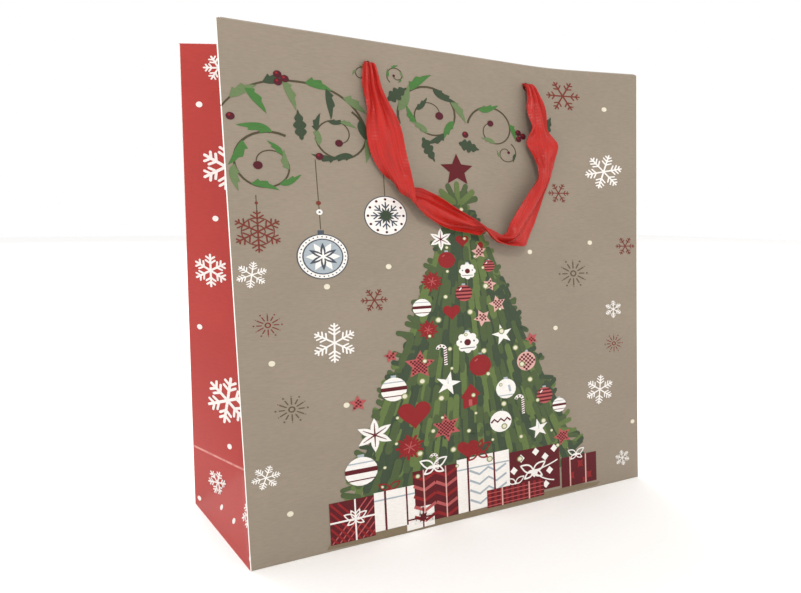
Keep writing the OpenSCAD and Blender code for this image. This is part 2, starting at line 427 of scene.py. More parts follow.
def make_active(piece):
    deselect()
    piece.select_set(True)
    bpy.context.view_layer.objects.active = piece


def apply_modifier(piece, kind, **settings):
    make_active(piece)
    modifier = piece.modifiers.new(kind.lower(), kind)
    for key, value in settings.items():
        setattr(modifier, key, value)
    bpy.ops.object.modifier_apply(modifier=modifier.name)


def smooth(piece, angle=30):
    make_active(piece)
    bpy.ops.object.shade_smooth_by_angle(angle=radians(angle))


def flip_faces(piece):
    make_active(piece)
    bpy.ops.object.mode_set(mode="EDIT")
    bpy.ops.mesh.select_all(action="SELECT")
    bpy.ops.mesh.flip_normals()
    bpy.ops.object.mode_set(mode="OBJECT")


def bent_grid(name, across, up, place, mirrored=False, rows=None):
    """A flat grid over two ranges, bent by place(across, up); its UVs are the flat metres."""
    deselect()
    columns = max(1, round((across[1] - across[0]) / CELL))
    rows = rows or max(1, round((up[1] - up[0]) / CELL))
    bpy.ops.mesh.primitive_grid_add(x_subdivisions=columns, y_subdivisions=rows, size=1)
    piece = bpy.context.object
    piece.name = piece.data.name = name
    mesh = piece.data
    flat = [(across[0] + (v.co.x + 0.5) * (across[1] - across[0]),
             up[0] + (v.co.y + 0.5) * (up[1] - up[0])) for v in mesh.vertices]
    layer = mesh.uv_layers[0] if mesh.uv_layers else mesh.uv_layers.new()
    layer.name = "paper"
    for loop in mesh.loops:
        x, y = flat[loop.vertex_index]
        layer.data[loop.index].uv = (x * MM, y * MM)
    for vertex, (x, y) in zip(mesh.vertices, flat):
        vertex.co = place(x, y) * MM
    if mirrored:
        flip_faces(piece)
    return piece


def thicken(piece, thick_mm, outer, inner, rim):
    """Gives bent paper its thickness, inwards from its printed face."""
    for material in (outer, inner, rim):
        piece.data.materials.append(material)
    apply_modifier(piece, "SOLIDIFY", thickness=thick_mm * MM, offset=-1, use_even_offset=True,
                   material_offset=1, material_offset_rim=2)
    smooth(piece, 25)


def punch_holes(piece, bag, side, diameter_mm):
    """Cuts the two handle holes straight through a wall, its card and its turned top."""
    for hand in (-1, 1):
        deselect()
        reach = 8
        middle = bag.wall(side, hand * bag.hole_across, bag.hole_up)
        outward = bag.wall(side, hand * bag.hole_across, bag.hole_up, reach) - middle
        bpy.ops.mesh.primitive_cylinder_add(
            vertices=32, radius=diameter_mm / 2 * MM, depth=2 * reach * MM, location=middle * MM,
            rotation=outward.to_track_quat("Z", "Y").to_euler())
        punch = bpy.context.object
        apply_modifier(piece, "BOOLEAN", operation="DIFFERENCE", object=punch, solver="EXACT")
        bpy.data.objects.remove(punch)


# ---------------------------------------------------------------- drawing the print


def disc(x, y, r, steps=20):
    return [(x + r * cos(2 * pi * i / steps), y + r * sin(2 * pi * i / steps)) for i in range(steps)]


def box(x0, y0, x1, y1):
    return [(x0, y0), (x1, y0), (x1, y1), (x0, y1)]


def star(x, y, r, tips=5, inner=0.4, turn=0.0):
    points = []
    for i in range(2 * tips):
        reach = r if i % 2 == 0 else r * inner
        a = radians(90 + turn) + pi * i / tips
        points.append((x + reach * cos(a), y + reach * sin(a)))
    return points


def heart(x, y, r):
    points = []
    for i in range(24):
        t = -2 * pi * i / 24
        points.append((x + r * sin(t) ** 3,
                       y + r / 16 * (13 * cos(t) - 5 * cos(2 * t) - 2 * cos(3 * t) - cos(4 * t))))
    return points


def stroke(points, width, end_width=None):
    """The outline of a pen line through the points, its width running to end_width."""
    end_width = width if end_width is None else end_width
    left, right = [], []
    for i, (x, y) in enumerate(points):
        x0, y0 = points[max(i - 1, 0)]
        x1, y1 = points[min(i + 1, len(points) - 1)]
        run = hypot(x1 - x0, y1 - y0) or 1
        half = (width + (end_width - width) * i / (len(points) - 1)) / 2
        nx, ny = -(y1 - y0) / run * half, (x1 - x0) / run * half
        left.append((x + nx, y + ny))
        right.append((x - nx, y - ny))
    return right + left[::-1]


def finger(x, y, angle, length, width):
    """A straight stroke with two round ends."""
    ux, uy = cos(radians(angle)), sin(radians(angle))
    points = []
    for end, start in ((1, -90), (0, 90)):
        for i in range(5):
            a = radians(start + 45 * i)
            along = end * length + cos(a) * width / 2
            points.append((x + ux * along - uy * sin(a) * width / 2,
                           y + uy * along + ux * sin(a) * width / 2))
    return points


def spiral(x, y, r0, r1, a0, a1, steps=24):
    """Points of a curl round (x, y), its radius running from r0 to r1."""
    points = []
    for i in range(steps + 1):
        share = i / steps
        a, r = radians(a0 + (a1 - a0) * share), r0 + (r1 - r0) * share
        points.append((x + r * cos(a), y + r * sin(a)))
    return points


def curve(start, pull, end, steps=14):
    """Points of a smooth bow from start to end, pulled towards a third point."""
    points = []
    for i in range(steps + 1):
        t = i / steps
        points.append(tuple((1 - t) ** 2 * a + 2 * t * (1 - t) * b + t * t * c
                            for a, b, c in zip(start, pull, end)))
    return points


def leaf(x, y, angle, length, width, bend=0.0, spikes=0):
    """A leaf that grows from (x, y); bend curves its tip, and spikes make it a holly leaf."""
    steps = 6 * spikes if spikes else 12
    ux, uy = cos(radians(angle)), sin(radians(angle))
    sides = ([], [])
    for i in range(steps + 1):
        t = i / steps
        half = width / 2 * sin(pi * t ** 0.8)
        if spikes:
            half *= 0.55 + 0.45 * abs(cos(spikes * pi * t))
        off = bend * t * t * length
        for hand, side in zip((1, -1), sides):
            side.append((x + ux * length * t - uy * (off + hand * half),
                         y + uy * length * t + ux * (off + hand * half)))
    return sides[1][:-1] + sides[0][:0:-1]


def lobed(x, y, angle, length, width, bend, lobes=3):
    """A leaf whose outer edge has a few forward lobes and whose inner edge is smooth."""
    ux, uy = cos(radians(angle)), sin(radians(angle))
    steps, outer, inner = 8 * lobes, [], []
    for i in range(steps + 1):
        t = i / steps
        half = width / 2 * sin(pi * t ** 0.8)
        tooth = 0.75 + 0.75 * (lobes * t % 1) ** 1.5
        for side, off in ((outer, half * tooth), (inner, -half * 0.8)):
            off += bend * t * t * length
            side.append((x + ux * length * t - uy * off, y + uy * length * t + ux * off))
    return inner[:-1] + outer[:0:-1]


def band(x, y, r, low, high, steps=6):
    """The slice of a disc between two heights, given as shares of its radius."""
    a0, a1 = asin(low), asin(high)
    right = [(x + r * cos(a), y + r * sin(a)) for a in (a0 + (a1 - a0) * i / steps for i in range(steps + 1))]
    return right + [(2 * x - px, py) for px, py in reversed(right)]


def inside(point, outline):
    x, y = point
    hit = False
    for (x0, y0), (x1, y1) in zip(outline, outline[1:] + outline[:1]):
        if (y0 > y) != (y1 > y) and x < x0 + (y - y0) / (y1 - y0) * (x1 - x0):
            hit = not hit
    return hit


def widened(draw):
    """Makes a motif's drawing wider and lower about its own middle, its first two numbers."""
    def drawn(art, *values):
        art.about = [v for v in values if isinstance(v, (int, float))][:2]
        draw(art, *values)
        art.about = None
    return drawn


class Art:
    """Printed shapes in millimetres, each with its ink and the level that it lies on."""

    def __init__(self):
        self.shapes, self.about = [], None

    def add(self, name, level, points):
        if self.about:
            x0, y0 = self.about
            points = [(x0 + (x - x0) * WIDE, y0 + (y - y0) * TALL) for x, y in points]
        self.shapes.append((name, level, points))

    @widened
    def dot(self, x, y, r, name, level, steps=14):
        self.add(name, level, disc(x, y, r, steps))

    @widened
    def heart(self, x, y, r, name, level):
        self.add(name, level, heart(x, y, r))

    def line(self, name, level, points, width, end_width=None):
        self.add(name, level, stroke(points, width, end_width))

    @widened
    def snowflake(self, name, x, y, r, turn=0.0,
                  boughs=((0.42, 0.30), (0.62, 0.28), (0.82, 0.18)), pen=0.085):
        """Six arms, each with pairs of boughs given as (place, length) in shares of the radius."""
        width = max(pen * r, 0.35)
        for arm in range(6):
            a = turn + 60 * arm
            ux, uy = cos(radians(a)), sin(radians(a))
            self.add(name, arm % 3, finger(x, y, a, r, width))
            for place, length in boughs:
                for hand in (-55, 55):
                    self.add(name, arm % 3, finger(x + ux * place * r, y + uy * place * r, a + hand,
                                                   length * r, width * 0.9))

    @widened
    def burst(self, name, x, y, r, rays=12):
        """A round firework: a ring, dashes and dots."""
        self.line(name, 0, spiral(x, y, 0.17 * r, 0.17 * r, 0, 360), 0.09 * r)
        for ray in range(rays):
            a = 360 * ray / rays
            ux, uy = cos(radians(a)), sin(radians(a))
            start, length = (0.36, 0.42) if ray % 2 else (0.42, 0.3)
            self.add(name, 0, finger(x + ux * start * r, y + uy * start * r, a, length * r, 0.075 * r))
            if ray % 2 == 0:
                self.add(name, 0, disc(x + ux * 0.93 * r, y + uy * 0.93 * r, 0.06 * r, 8))
            else:
                self.add(name, 0, disc(x + ux * 0.9 * r, y + uy * 0.9 * r, 0.035 * r, 6))

    @widened
    def checked_star(self, x, y, r, tips, turn, base, square):
        self.checked(star(x, y, r, tips, 0.5, turn), 4, base, square)

    @widened
    def plain_star(self, x, y, r, turn, name, level, inner=0.38):
        self.add(name, level, star(x, y, r, 5, inner, turn))

    def checked(self, outline, level, base, square, cell=1.3):
        """A shape filled with a gingham of small squares."""
        self.add(base, level, outline)
        xs, ys = [p[0] for p in outline], [p[1] for p in outline]
        for i in range(floor(min(xs) / cell), ceil(max(xs) / cell)):
            for j in range(floor(min(ys) / cell), ceil(max(ys) / cell)):
                corners = box(i * cell, j * cell, (i + 1) * cell, (j + 1) * cell)
                if (i + j) % 2 == 0 and all(inside(c, outline) for c in corners):
                    self.add(square, level + 1, corners)

    @widened
    def bauble(self, kind, x, y, r):
        if kind == "red":
            self.add("red", 4, disc(x, y, r))
            self.add("rose", 5, finger(x - 0.45 * r, y + 0.45 * r, 40, 0.25 * r, 0.12 * r))
        elif kind == "banded":
            self.add("white", 4, disc(x, y, r))
            self.add("maroon", 5, band(x, y, r, -0.12, 0.2))
            self.add("maroon", 5, band(x, y, r, -0.62, -0.54))
            self.add("frost", 5, band(x, y, r, 0.55, 0.64))
        elif kind == "flowered":
            for petal in range(8):
                a = 2 * pi * petal / 8
                self.add("white", 4, disc(x + 0.72 * r * cos(a), y + 0.72 * r * sin(a), 0.34 * r, 12))
            self.add("white", 5, disc(x, y, 0.9 * r))
            self.add("maroon", 6, disc(x, y, 0.32 * r, 14))
            for hand in (-1, 1):
                self.add("slate", 6, disc(x + hand * 0.62 * r, y + 0.1 * r, 0.09 * r, 8))
            self.add("slate", 6, band(x, y, 0.88 * r, -0.66, -0.58))
        elif kind == "striped":
            self.add("rose", 4, disc(x, y, r))
            for low in (-0.75, -0.3, 0.15, 0.58):
                self.add("maroon", 5, band(x, y, r, low, low + 0.2))
            self.add("white", 6, finger(x - 0.5 * r, y + 0.42 * r, 50, 0.3 * r, 0.13 * r))
        elif kind == "zigzag":
            self.add("white", 4, disc(x, y, r))
            points = [(x + r * (-0.9 + 0.3 * i), y + r * (0.1 + (0.16 if i % 2 else -0.12)))
                      for i in range(7)]
            self.line("maroon", 5, points, 0.17 * r)
        elif kind == "plain":
            self.add("white", 4, disc(x, y, r))
            self.add("frost", 5, band(x, y, r, -0.72, -0.62))
            self.add("frost", 5, finger(x + 0.4 * r, y - 0.25 * r, 100, 0.5 * r, 0.22 * r))
        elif kind == "checked":
            self.checked(disc(x, y, r, 24), 4, "pink", "maroon", 1.7)
        cap = 0.2 * r
        self.add("frost", 3, box(x - cap, y + 0.9 * r, x + cap, y + 1.18 * r))

    @widened
    def flower(self, x, y, r):
        """A six-petalled white star flower with a fine dark vein in each petal."""
        for petal in range(6):
            a = 90 + 60 * petal
            self.add("white", 4, leaf(x, y, a, r, 0.42 * r))
            tip = (x + 0.7 * r * cos(radians(a)), y + 0.7 * r * sin(radians(a)))
            self.line("maroon", 5, [(x, y), tip], 0.09 * r, 0.03 * r)

    @widened
    def ragged(self, x, y, r):
        """A frayed pompon: many short red strokes round a centre."""
        for ray in range(18):
            self.add("red", 4 + ray % 2, finger(x, y, 20 * ray, r * (0.95 if ray % 2 else 0.75), 0.2 * r))
        for ray in range(6):
            self.add("rose", 6, finger(x, y, 60 * ray + 15, 0.45 * r, 0.07 * r))

    @widened
    def cane(self, x, y, size):
        stem = [(x, y - size), (x, y + 0.35 * size)]
        hook = spiral(x - 0.32 * size, y + 0.35 * size, 0.32 * size, 0.32 * size, 0, 170, 10)
        route = stem + hook
        self.line("white", 4, route, 0.26 * size)
        for i in range(7):
            a = y - 0.9 * size + i * 0.2 * size
            self.line("maroon", 5, [(x - 0.13 * size, a), (x + 0.13 * size, a + 0.1 * size)], 0.09 * size)
        for px, py in hook[3::3]:
            self.add("maroon", 5, disc(px, py, 0.08 * size, 6))

    def bow(self, name, level, x, y, size, loops=4):
        """Thin outlined loops round a knot."""
        for loop in range(loops):
            a = (25, 155, -28, 208, 62, 118)[loop]
            reach = size * (1 if loop < 2 else 0.75)
            outline = leaf(x, y, a, reach, 0.42 * reach)
            self.line(name, level, outline + outline[:1], 0.09 * size)
        self.add(name, level, disc(x, y, 0.12 * size, 10))

    @widened
    def vine(self, x, y, r, start, sweep, inks, count):
        """A curling stem with lobed leaves on alternate sides and a berry at its heart."""
        steps = 48
        route = spiral(x, y, r, 0.25 * r, start, start + sweep, steps)
        self.line("stem", 1, route, 0.06 * r + 0.2, 0.5)
        for i in range(count):
            share = 0.75 * (i + 0.4) / count
            (x0, y0), (x1, y1) = route[round(share * steps):][:2]
            way, hand = degrees(atan2(y1 - y0, x1 - x0)), 1 if i % 2 else -1
            length = r * (0.85 - 0.5 * share)
            self.add(inks[i % len(inks)], 2,
                     lobed(x0, y0, way + 32 * hand, length, 0.36 * length, -0.4 * hand))
        self.add("berry", 4, disc(*route[-1], 0.12 * r, 14))

    @widened
    def light(self, x, y, r):
        self.add("glow", 6, disc(x, y, 1.5 * r, 14))
        self.add("cream", 7, disc(x, y, r, 12))


def print_piece(name, art, place, colours, mirrored=False):
    """Lays the shapes on the paper: each is cut on the paper's squares, thickened and bent."""
    mesh = bpy.data.meshes.new(name)
    names = sorted({shape[0] for shape in art.shapes})
    build = bmesh.new()
    for count, (ink_name, level, points) in enumerate(art.shapes):
        lift = INK_LIFT + LEVEL_LIFT * level + SHAPE_LIFT * (count % 9)
        face = build.faces.new([build.verts.new((x, y, lift)) for x, y in points])
        face.material_index = names.index(ink_name)
    build.normal_update()
    for face in build.faces:
        if face.normal.z < 0:
            face.normal_flip()
    bmesh.ops.triangulate(build, faces=build.faces[:])
    for axis in (0, 1):
        places = [v.co[axis] for v in build.verts]
        for cut in range(ceil(min(places) / CELL), ceil(max(places) / CELL)):
            point, normal = Vector(), Vector()
            point[axis], normal[axis] = cut * CELL, 1
            near = [f for f in build.faces
                    if min(v.co[axis] for v in f.verts) < cut * CELL < max(v.co[axis] for v in f.verts)]
            geometry = (near + list({e for f in near for e in f.edges})
                        + list({v for f in near for v in f.verts}))
            bmesh.ops.bisect_plane(build, geom=geometry, plane_co=point, plane_no=normal, dist=0.001)
    build.to_mesh(mesh)
    build.free()
    piece = bpy.data.objects.new(name, mesh)
    bpy.context.scene.collection.objects.link(piece)
    for ink_name in names:
        mesh.materials.append(ink(colours, ink_name))
    apply_modifier(piece, "SOLIDIFY", thickness=INK_THICK, offset=-1)
    for vertex in piece.data.vertices:
        x, y, lift = vertex.co
        vertex.co = place(x, y, lift) * MM
    if mirrored:
        flip_faces(piece)
    return piece


# ---------------------------------------------------------------- the motifs


def scroll_art():
    """Generic scrollwork along the top: vines that curl by rule, with holly and berries."""
    art = Art()
    bright, dark, mixed = ("leaf", "leaf", "sage"), ("forest", "sage", "forest"), ("sage", "leaf", "forest")
    arch = curve((-165, 271), (-148, 291), (-112, 289)) + curve((-112, 289), (-76, 287), (-69, 258))[1:]
    art.line("stem", 1, arch, 1.0, 1.4)
    for i, (x, y) in enumerate(arch[2:-6:3]):
        art.add(mixed[i % 3], 2, lobed(x, y, (-24 if i % 2 else 40) - 9 * i, 18, 6, -0.25))
    art.vine(-139, 240, 22, 60, 490, bright, 7)
    art.vine(-92, 259, 20, 60, -500, dark, 8)
    art.vine(-20, 277, 24, 200, -560, mixed, 9)
    art.vine(33, 271, 20, 170, -420, bright, 3)
    art.vine(44, 255, 9, 60, -400, dark, 2)
    art.vine(-72, 298, 8, -90, 380, bright, 3)
    art.vine(-46, 300, 7, 230, -400, bright, 4)
    for x, y, angle in ((-116, 255, 96), (-28, 262, -60), (2, 260, -12), (-54, 284, 30), (80, 268, 60)):
        art.add("forest", 3, leaf(x, y, angle, 18, 9, 0, 4))
    for x, y in ((-163, 266), (-128, 290), (-108, 246), (5, 266), (58, 268)):
        for turn in range(3 if x in (-128, 58) else 1):
            art.dot(x + 3 * cos(2.1 * turn), y + 2.5 * sin(2.1 * turn), 2.4, "berry", 4)
            art.dot(x + 3 * cos(2.1 * turn) - 0.7, y + 2.5 * sin(2.1 * turn) + 0.7, 0.8, "red", 5, 10)
    return art


def hanging_art():
    """Baubles on threads below the scrollwork, a filigree flake, and the star on the tree."""
    art = Art()
    art.line("stem", 0, [(-108, 244), (-107, 202)], 0.5)
    art.line("stem", 0, [(-60, 240), (-60, 222)], 0.5)
    art.line("stem", 0, [(-147.5, 222), (-147.5, 212)], 0.5)
    art.dot(-107.5, 218, 1.5, "rust", 1)
    art.dot(-107.2, 212.5, 1.9, "white", 1)
    art.dot(-107.2, 212.5, 0.6, "slate", 2)
    art.dot(-147.5, 217.5, 0.9, "rust", 1)
    art.add("slate", 1, box(-109.2, 199, -105, 201.5))
    art.about = (-106.5, 185.5)
    x, y = art.about
    art.add("slate", 1, disc(x, y, 15.6, 36))
    art.add("white", 2, disc(x, y, 14.9, 36))
    for i in range(32):
        a = 2 * pi * i / 32
        art.add("slate", 3, disc(x + 13.7 * cos(a), y + 13.7 * sin(a), 0.5, 6))
    art.add("slate", 3, disc(x, y, 12.4, 32))
    art.add("frost", 4, disc(x, y, 11.6, 28))
    for i in range(6):
        a = 60 * i + 30
        art.add("white", 5, leaf(x, y, a + 30, 10.5, 4.2))
        art.add("slate", 6, leaf(x, y, a, 9.5, 3.2))
        art.add("white", 7, leaf(x, y, a, 6, 1.2))
    art.add("white", 8, disc(x, y, 1.4, 12))
    art.about = (-60, 210.5)
    x, y = art.about
    art.add("slate", 1, disc(x, y, 14.2, 36))
    art.add("white", 2, disc(x, y, 13.6, 36))
    for i in range(12):
        a = 2 * pi * i / 12
        art.add("berry", 3, disc(x + 11.8 * cos(a), y + 11.8 * sin(a), 0.9, 10))
    for i in range(8):
        art.add("slate", 3, finger(x, y, 45 * i, 9.6, 0.9))
        fork = (x + 5.4 * cos(pi * i / 4), y + 5.4 * sin(pi * i / 4))
        for hand in (-40, 40):
            art.add("slate", 3, finger(*fork, 45 * i + hand, 3.4, 0.9))
        art.add("forest", 4, leaf(x, y, 45 * i + 22.5, 6.2, 1.9))
    art.about = None
    art.snowflake("rust", -147.5, 201, 13.5, 90, ((0.38, 0.3), (0.62, 0.3), (0.84, 0.16)), 0.07)
    for radius in (4, 9):
        ring = [(-147.5 + radius * WIDE * cos(radians(a)), 201 + radius * TALL * sin(radians(a)))
                for a in range(0, 361, 12 if radius > 5 else 30)]
        art.line("rust", 3, ring, 0.6)
    art.plain_star(-1, 241.5, 12.5, 0, "maroon", 4, 0.46)
    return art


def tree_half_width(y):
    return TREE_SPREAD * (TREE_TIP - y)


def tree_art(seed=4):
    """A fir of rounded strokes: rows of drooping needles inside and finger-like twigs outside."""
    art = Art()
    draw = random.Random(seed)
    greens = ("fir_light", "fir", "fir_dark", "fir")
    silhouette = [(-2, 226), (2, 226), (82, 56), (84, 38), (60, 28), (-50, 24), (-88, 32), (-82, 56)]
    art.add("fir_dark", 0, silhouette)
    rows = 17
    for row in range(rows):
        y = 34 + row * 11.6
        half = tree_half_width(y)
        for hand in (-1, 1):
            for i in range(4):
                tilt = draw.uniform(-26, 38)
                angle = tilt if hand > 0 else 180 - tilt
                reach = draw.uniform(10, 15) * (0.55 + 0.45 * (1 - row / rows))
                x0 = hand * (half - draw.uniform(7, 11)) + 1
                art.add(draw.choice(greens), 1 + i % 2,
                        finger(x0, y + draw.uniform(-6, 6), angle, reach, draw.uniform(2.9, 4.0)))
        count = max(2, round(half / 3.1))
        for i in range(count):
            x = -half + 2 * half * (i + 0.5) / count + draw.uniform(-1.5, 1.5)
            x *= 0.93
            lean = 270 + 34 * x / (half + 6)
            length = draw.uniform(11, 19)
            level = 1 + (row + i) % 3
            art.add(draw.choice(greens), level,
                    finger(x + 1, y + draw.uniform(2, 7), lean, length, draw.uniform(4.2, 6.2)))
    for i, angle in enumerate((35, 62, 90, 118, 145, 12, 168)):
        art.add(greens[i % 2], 3, finger(-2 + 4 * cos(radians(angle)), 220, angle, 12, 4.2))
    return art


def light_art(seed=9):
    """Small warm lights on the tree."""
    art = Art()
    draw = random.Random(seed)
    for row in range(14):
        y = 36 + row * 13.6
        half = tree_half_width(y) * 0.9
        count = max(1, round(half / 14))
        for i in range(count):
            x = -half + 2 * half * (i + 0.5) / count + draw.uniform(-4, 4)
            art.light(x + 1, y + draw.uniform(-4, 4), draw.choice((0.9, 1.2, 1.6)))
    return art


def ornament_art():
    """Everything that hangs on the tree."""
    art = Art()
    for x, y, r in ((0, 194, 5), (-12, 146, 6.5), (-46, 80, 11.5), (-4, 50, 8)):
        art.heart(x, y, r, "red", 4)
    baubles = (
        ("red", -14, 181, 6.2), ("red", 10, 107, 8.4), ("flowered", 3, 173, 6), ("banded", -36, 150, 6.6),
        ("flowered", 0, 124, 8), ("banded", -61, 98, 8.8), ("plain", 32, 88, 8), ("zigzag", 26, 65, 8.6),
        ("banded", -88, 48, 10.5), ("banded", 82, 70, 6), ("striped", -1, 158, 6.3), ("striped", 68, 79, 6.8),
        ("checked", 52, 106, 7.8), ("striped", 22, 176, 4.6),
    )
    for kind, x, y, r in baubles:
        art.bauble(kind, x, y, r)
    for x, y, r, turn in ((14, 186, 6, 8), (22, 163, 5.5, -10), (28, 149, 7, 12), (-40, 112, 11, -4),
                          (-21, 67, 11, 5), (84, 46, 8, 20), (-62, 120, 5, 10), (14, 140, 7, 25),
                          (-88, 92, 6, 0), (58, 122, 5.5, 18)):
        art.checked_star(x, y, r, 6 if r == 11 and x > -30 else 5, turn,
                         "rose" if x < 0 or x > 50 else "pink", "maroon")
    for x, y, r, turn in ((31, 127, 8.5, 12), (-18, 97, 9.5, -14), (61, 55, 8.5, 10)):
        art.plain_star(x, y, r, turn, "white", 4)
        art.line("frost", 5, [(x, y), (x, y + 0.5 * r)], 0.5, 0.2)
    art.flower(-18, 195, 8.5)
    art.flower(-77, 70, 12.5)
    for x, y, r in ((-27, 167, 7.5), (-32, 135, 7), (-51, 58, 9.5)):
        art.ragged(x, y, r)
    art.cane(-19, 118, 9)
    art.cane(47, 76, 9)
    art.cane(-30, 46, 7)
    art.add("red", 4, [(-6, 78), (6, 80), (6, 86), (9, 87), (1, 95), (-8, 86), (-6, 85)])
    art.add("rose", 5, box(-1.5, 79.5, 1.5, 84))
    art.add("red", 4, finger(14, 188, 60, 3, 5))
    return art


def wrapped(art, base, x0, y0, x1, y1, tilt=0.0):
    """The front of a present; tilt lifts its right edge."""
    art.add(base, 4, [(x0, y0), (x1, y0 + tilt), (x1, y1 + tilt), (x0, y1)])


def present_art():
    """The row of wrapped presents below the tree, standing on a soft printed shadow."""
    art = Art()
    art.add("shade", 0, [(-115, 1.8), (-112, 6), (92, 6), (122, 4), (118, 1.6), (-60, 0.4)])
    # plaid present with a white cross ribbon
    wrapped(art, "maroon", -112, 4, -80, 31)
    for i in range(6):
        x = -111 + 5.4 * i
        rising, falling = min(x + 26, -80.4), max(x - 22, -111.6)
        art.add("rose", 5, stroke([(x, 4.4), (rising, 4.4 + min(26, -80.4 - x))], 0.8))
        art.add("red", 5, stroke([(x + 4, 4.4), (falling, 4.4 + x + 4 - falling)], 1.4))
    art.add("white", 6, box(-112, 17.5, -80, 18.6))
    art.add("white", 6, box(-94.5, 4, -93.4, 31))
    art.bow("white", 7, -94, 18, 9, 6)
    # tall white present with a lid
    wrapped(art, "white", -80, 6, -49, 32)
    art.add("frost", 5, box(-80, 26, -49, 27))
    art.add("maroon", 6, box(-72.5, 6, -71, 32))
    art.add("maroon", 6, box(-56, 6, -54.8, 32))
    art.bow("red", 7, -68, 33, 9, 2)
    # chevron present
    wrapped(art, "maroon", -50, 5, -14, 41)
    for k in range(5):
        y = 7 + 7 * k
        for x0, x1 in ((-50, -32), (-32, -14)):
            points = [(x0 + 0.3, y + 3), ((x0 + x1) / 2, y - 1), (x1 - 0.3, y + 3)]
            art.line("rose" if k % 2 else "red", 5, points, 2.2)
    art.add("pink", 6, box(-42, 5, -41, 41))
    art.add("pink", 6, box(-24, 5, -23, 41))
    art.bow("white", 7, -33, 42, 12, 4)
    # small white present in front
    wrapped(art, "white", -56, 1.6, -34, 16, 0.4)
    art.add("maroon", 7, box(-56, 8.2, -34, 9.2))
    art.add("maroon", 7, box(-43.5, 1.8, -42.5, 16))
    art.add("maroon", 8, star(-43, 8.8, 4.2, 8, 0.55))
    # tall white present with broad pale chevrons
    wrapped(art, "white", -14, 5, 32, 43, 0.8)
    art.add("frost", 5, box(-14, 35, 31.8, 36))
    for k in range(4):
        y = 9 + 7 * k
        art.line("frost", 5, [(-3.5, y + 4), (5, y), (13, y + 4), (20, y), (29, y + 4)], 1.6)
    art.add("maroon", 6, box(-5.5, 5, -4, 44))
    art.add("maroon", 6, box(17.5, 14, 19, 44))
    art.bow("red", 7, 4, 46, 13, 6)
    # present with white diamonds
    wrapped(art, "maroon", 30, 8, 80, 41)
    for x, y in ((36, 27), (43, 35), (57, 38), (66, 33), (40, 14), (55, 22), (70, 22), (66, 12), (75, 38)):
        art.add("white", 5, [(x, y - 3), (x + 3.4, y), (x, y + 3), (x - 3.4, y)])
    art.bow("white", 8, 54, 24, 13, 4)
    art.line("white", 8, curve((54, 24), (66, 25), (78, 29)), 0.9)
    art.line("white", 8, curve((54, 24), (62, 16), (74, 14)), 0.9)
    # low tartan present in front
    wrapped(art, "maroon", 11, 4, 64, 17)
    for k in range(10):
        art.add("red", 7, box(12 + 5.2 * k, 4.2, 14.4 + 5.2 * k, 16.8))
    for k in range(4):
        art.add("rose", 8, box(11.2, 5.2 + 3 * k, 63.8, 5.8 + 3 * k))
    art.add("maroon", 6, box(11, 4, 64, 17))
    for x in (24, 49):
        art.add("pink", 9, box(x, 4, x + 1.2, 17))
    art.bow("white", 9, 37, 18, 9, 2)
    # end present
    wrapped(art, "maroon", 82, 6, 118, 29)
    for x, y, r in ((92, 14, 4), (101, 22, 4), (110, 12, 4), (105, 9, 3)):
        art.add("red", 5, star(x, y, r, 4, 0.5, 45))
    art.add("pink", 6, box(90, 6, 91.2, 29))
    art.add("pink", 6, box(106, 6, 107.2, 29))
    art.bow("white", 7, 97, 30, 9, 4)
    return art


def snow_art():
    """Snowflakes, bursts and dots that float round the tree."""
    art = Art()
    for x, y, r, turn in ((-153, 176, 8.5, 20), (-102, 132, 13.5, 88), (-152, 55, 8, 70),
                          (134, 245, 14.5, 12), (140, 139, 7.5, 30), (124, 77, 12.5, 24), (147, 19, 7, 40)):
        art.snowflake("white", x, y, r, turn)
    for x, y, r, turn in ((-72, 157, 8.5, 0), (101, 300, 12.5, 0), (92, 228, 8.5, 0), (153, 188, 8, 0)):
        art.snowflake("rust", x, y, r, turn, ((0.5, 0.28), (0.78, 0.2)))
    art.burst("rust", -145, 146, 8.5)
    art.burst("rust", 140, 112, 8.5)
    art.burst("olive", -133, 94, 10)
    art.burst("olive", 102, 168, 12.5)
    for x, y in ((-60, 178), (-105, 167), (-144, 123), (-96, 92), (-138, 30), (136, 292), (119, 191),
                 (61, 185), (82, 128), (159, 47)):
        art.dot(x, y, 1.9, "cream", 0)
    return art


def gusset_art():
    """White snowflakes with rounded arms, and dots, on half a gusset, measured from its corner."""
    art = Art()
    blunt = ((0.45, 0.34), (0.7, 0.3))
    for x, y, r, turn in ((27, 305, 9, 60), (32, 243, 16, 90), (20, 174, 12, 92), (37, 87, 17.5, 84),
                          (29, 26, 9.5, 75)):
        art.snowflake("white", x, y, r, turn, blunt, 0.13)
    for x, y in ((13, 282), (24, 209), (10, 134), (42, 56), (48, 150), (50, 280), (47, 14), (6, 6)):
        art.dot(x, y, 2.1, "white", 0)
    return art


# ---------------------------------------------------------------- operators


def bag_of(context):
    return Bag(context.scene.gift_bag_sizes)


GUSSET_HALVES = [(end, side) for end in (-1, 1) for side in ("front", "back")]


def hand_of(end):
    return "left" if end < 0 else "right"


def where_of(side):
    return "front" if side == "front" else "rear"


def half_name(end, side):
    return f"{hand_of(end)}_gusset_{where_of(side)}"


def bend_with_gusset(piece, bag, end, side):
    """Works out the slanting crease between the gusset's middle and its side fold, and bakes the piece's
    transform.
    """
    middle, fold = f"{hand_of(end)}_gusset", half_name(end, side)
    hinge = next(j for j in frame["joints"] if j["child"] == fold)
    start, axis = Vector(hinge["pos_m"]), Vector(hinge["axis"])
    edge = bag.corner(end, side, bag.height) - bag.corner(end, side, 0)
    inner = Vector((0, -start.y, 0)).normalized()
    to_fold = (edge - edge.dot(axis) * axis).normalized()
    to_middle = (inner - inner.dot(axis) * axis).normalized()
    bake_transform(piece)


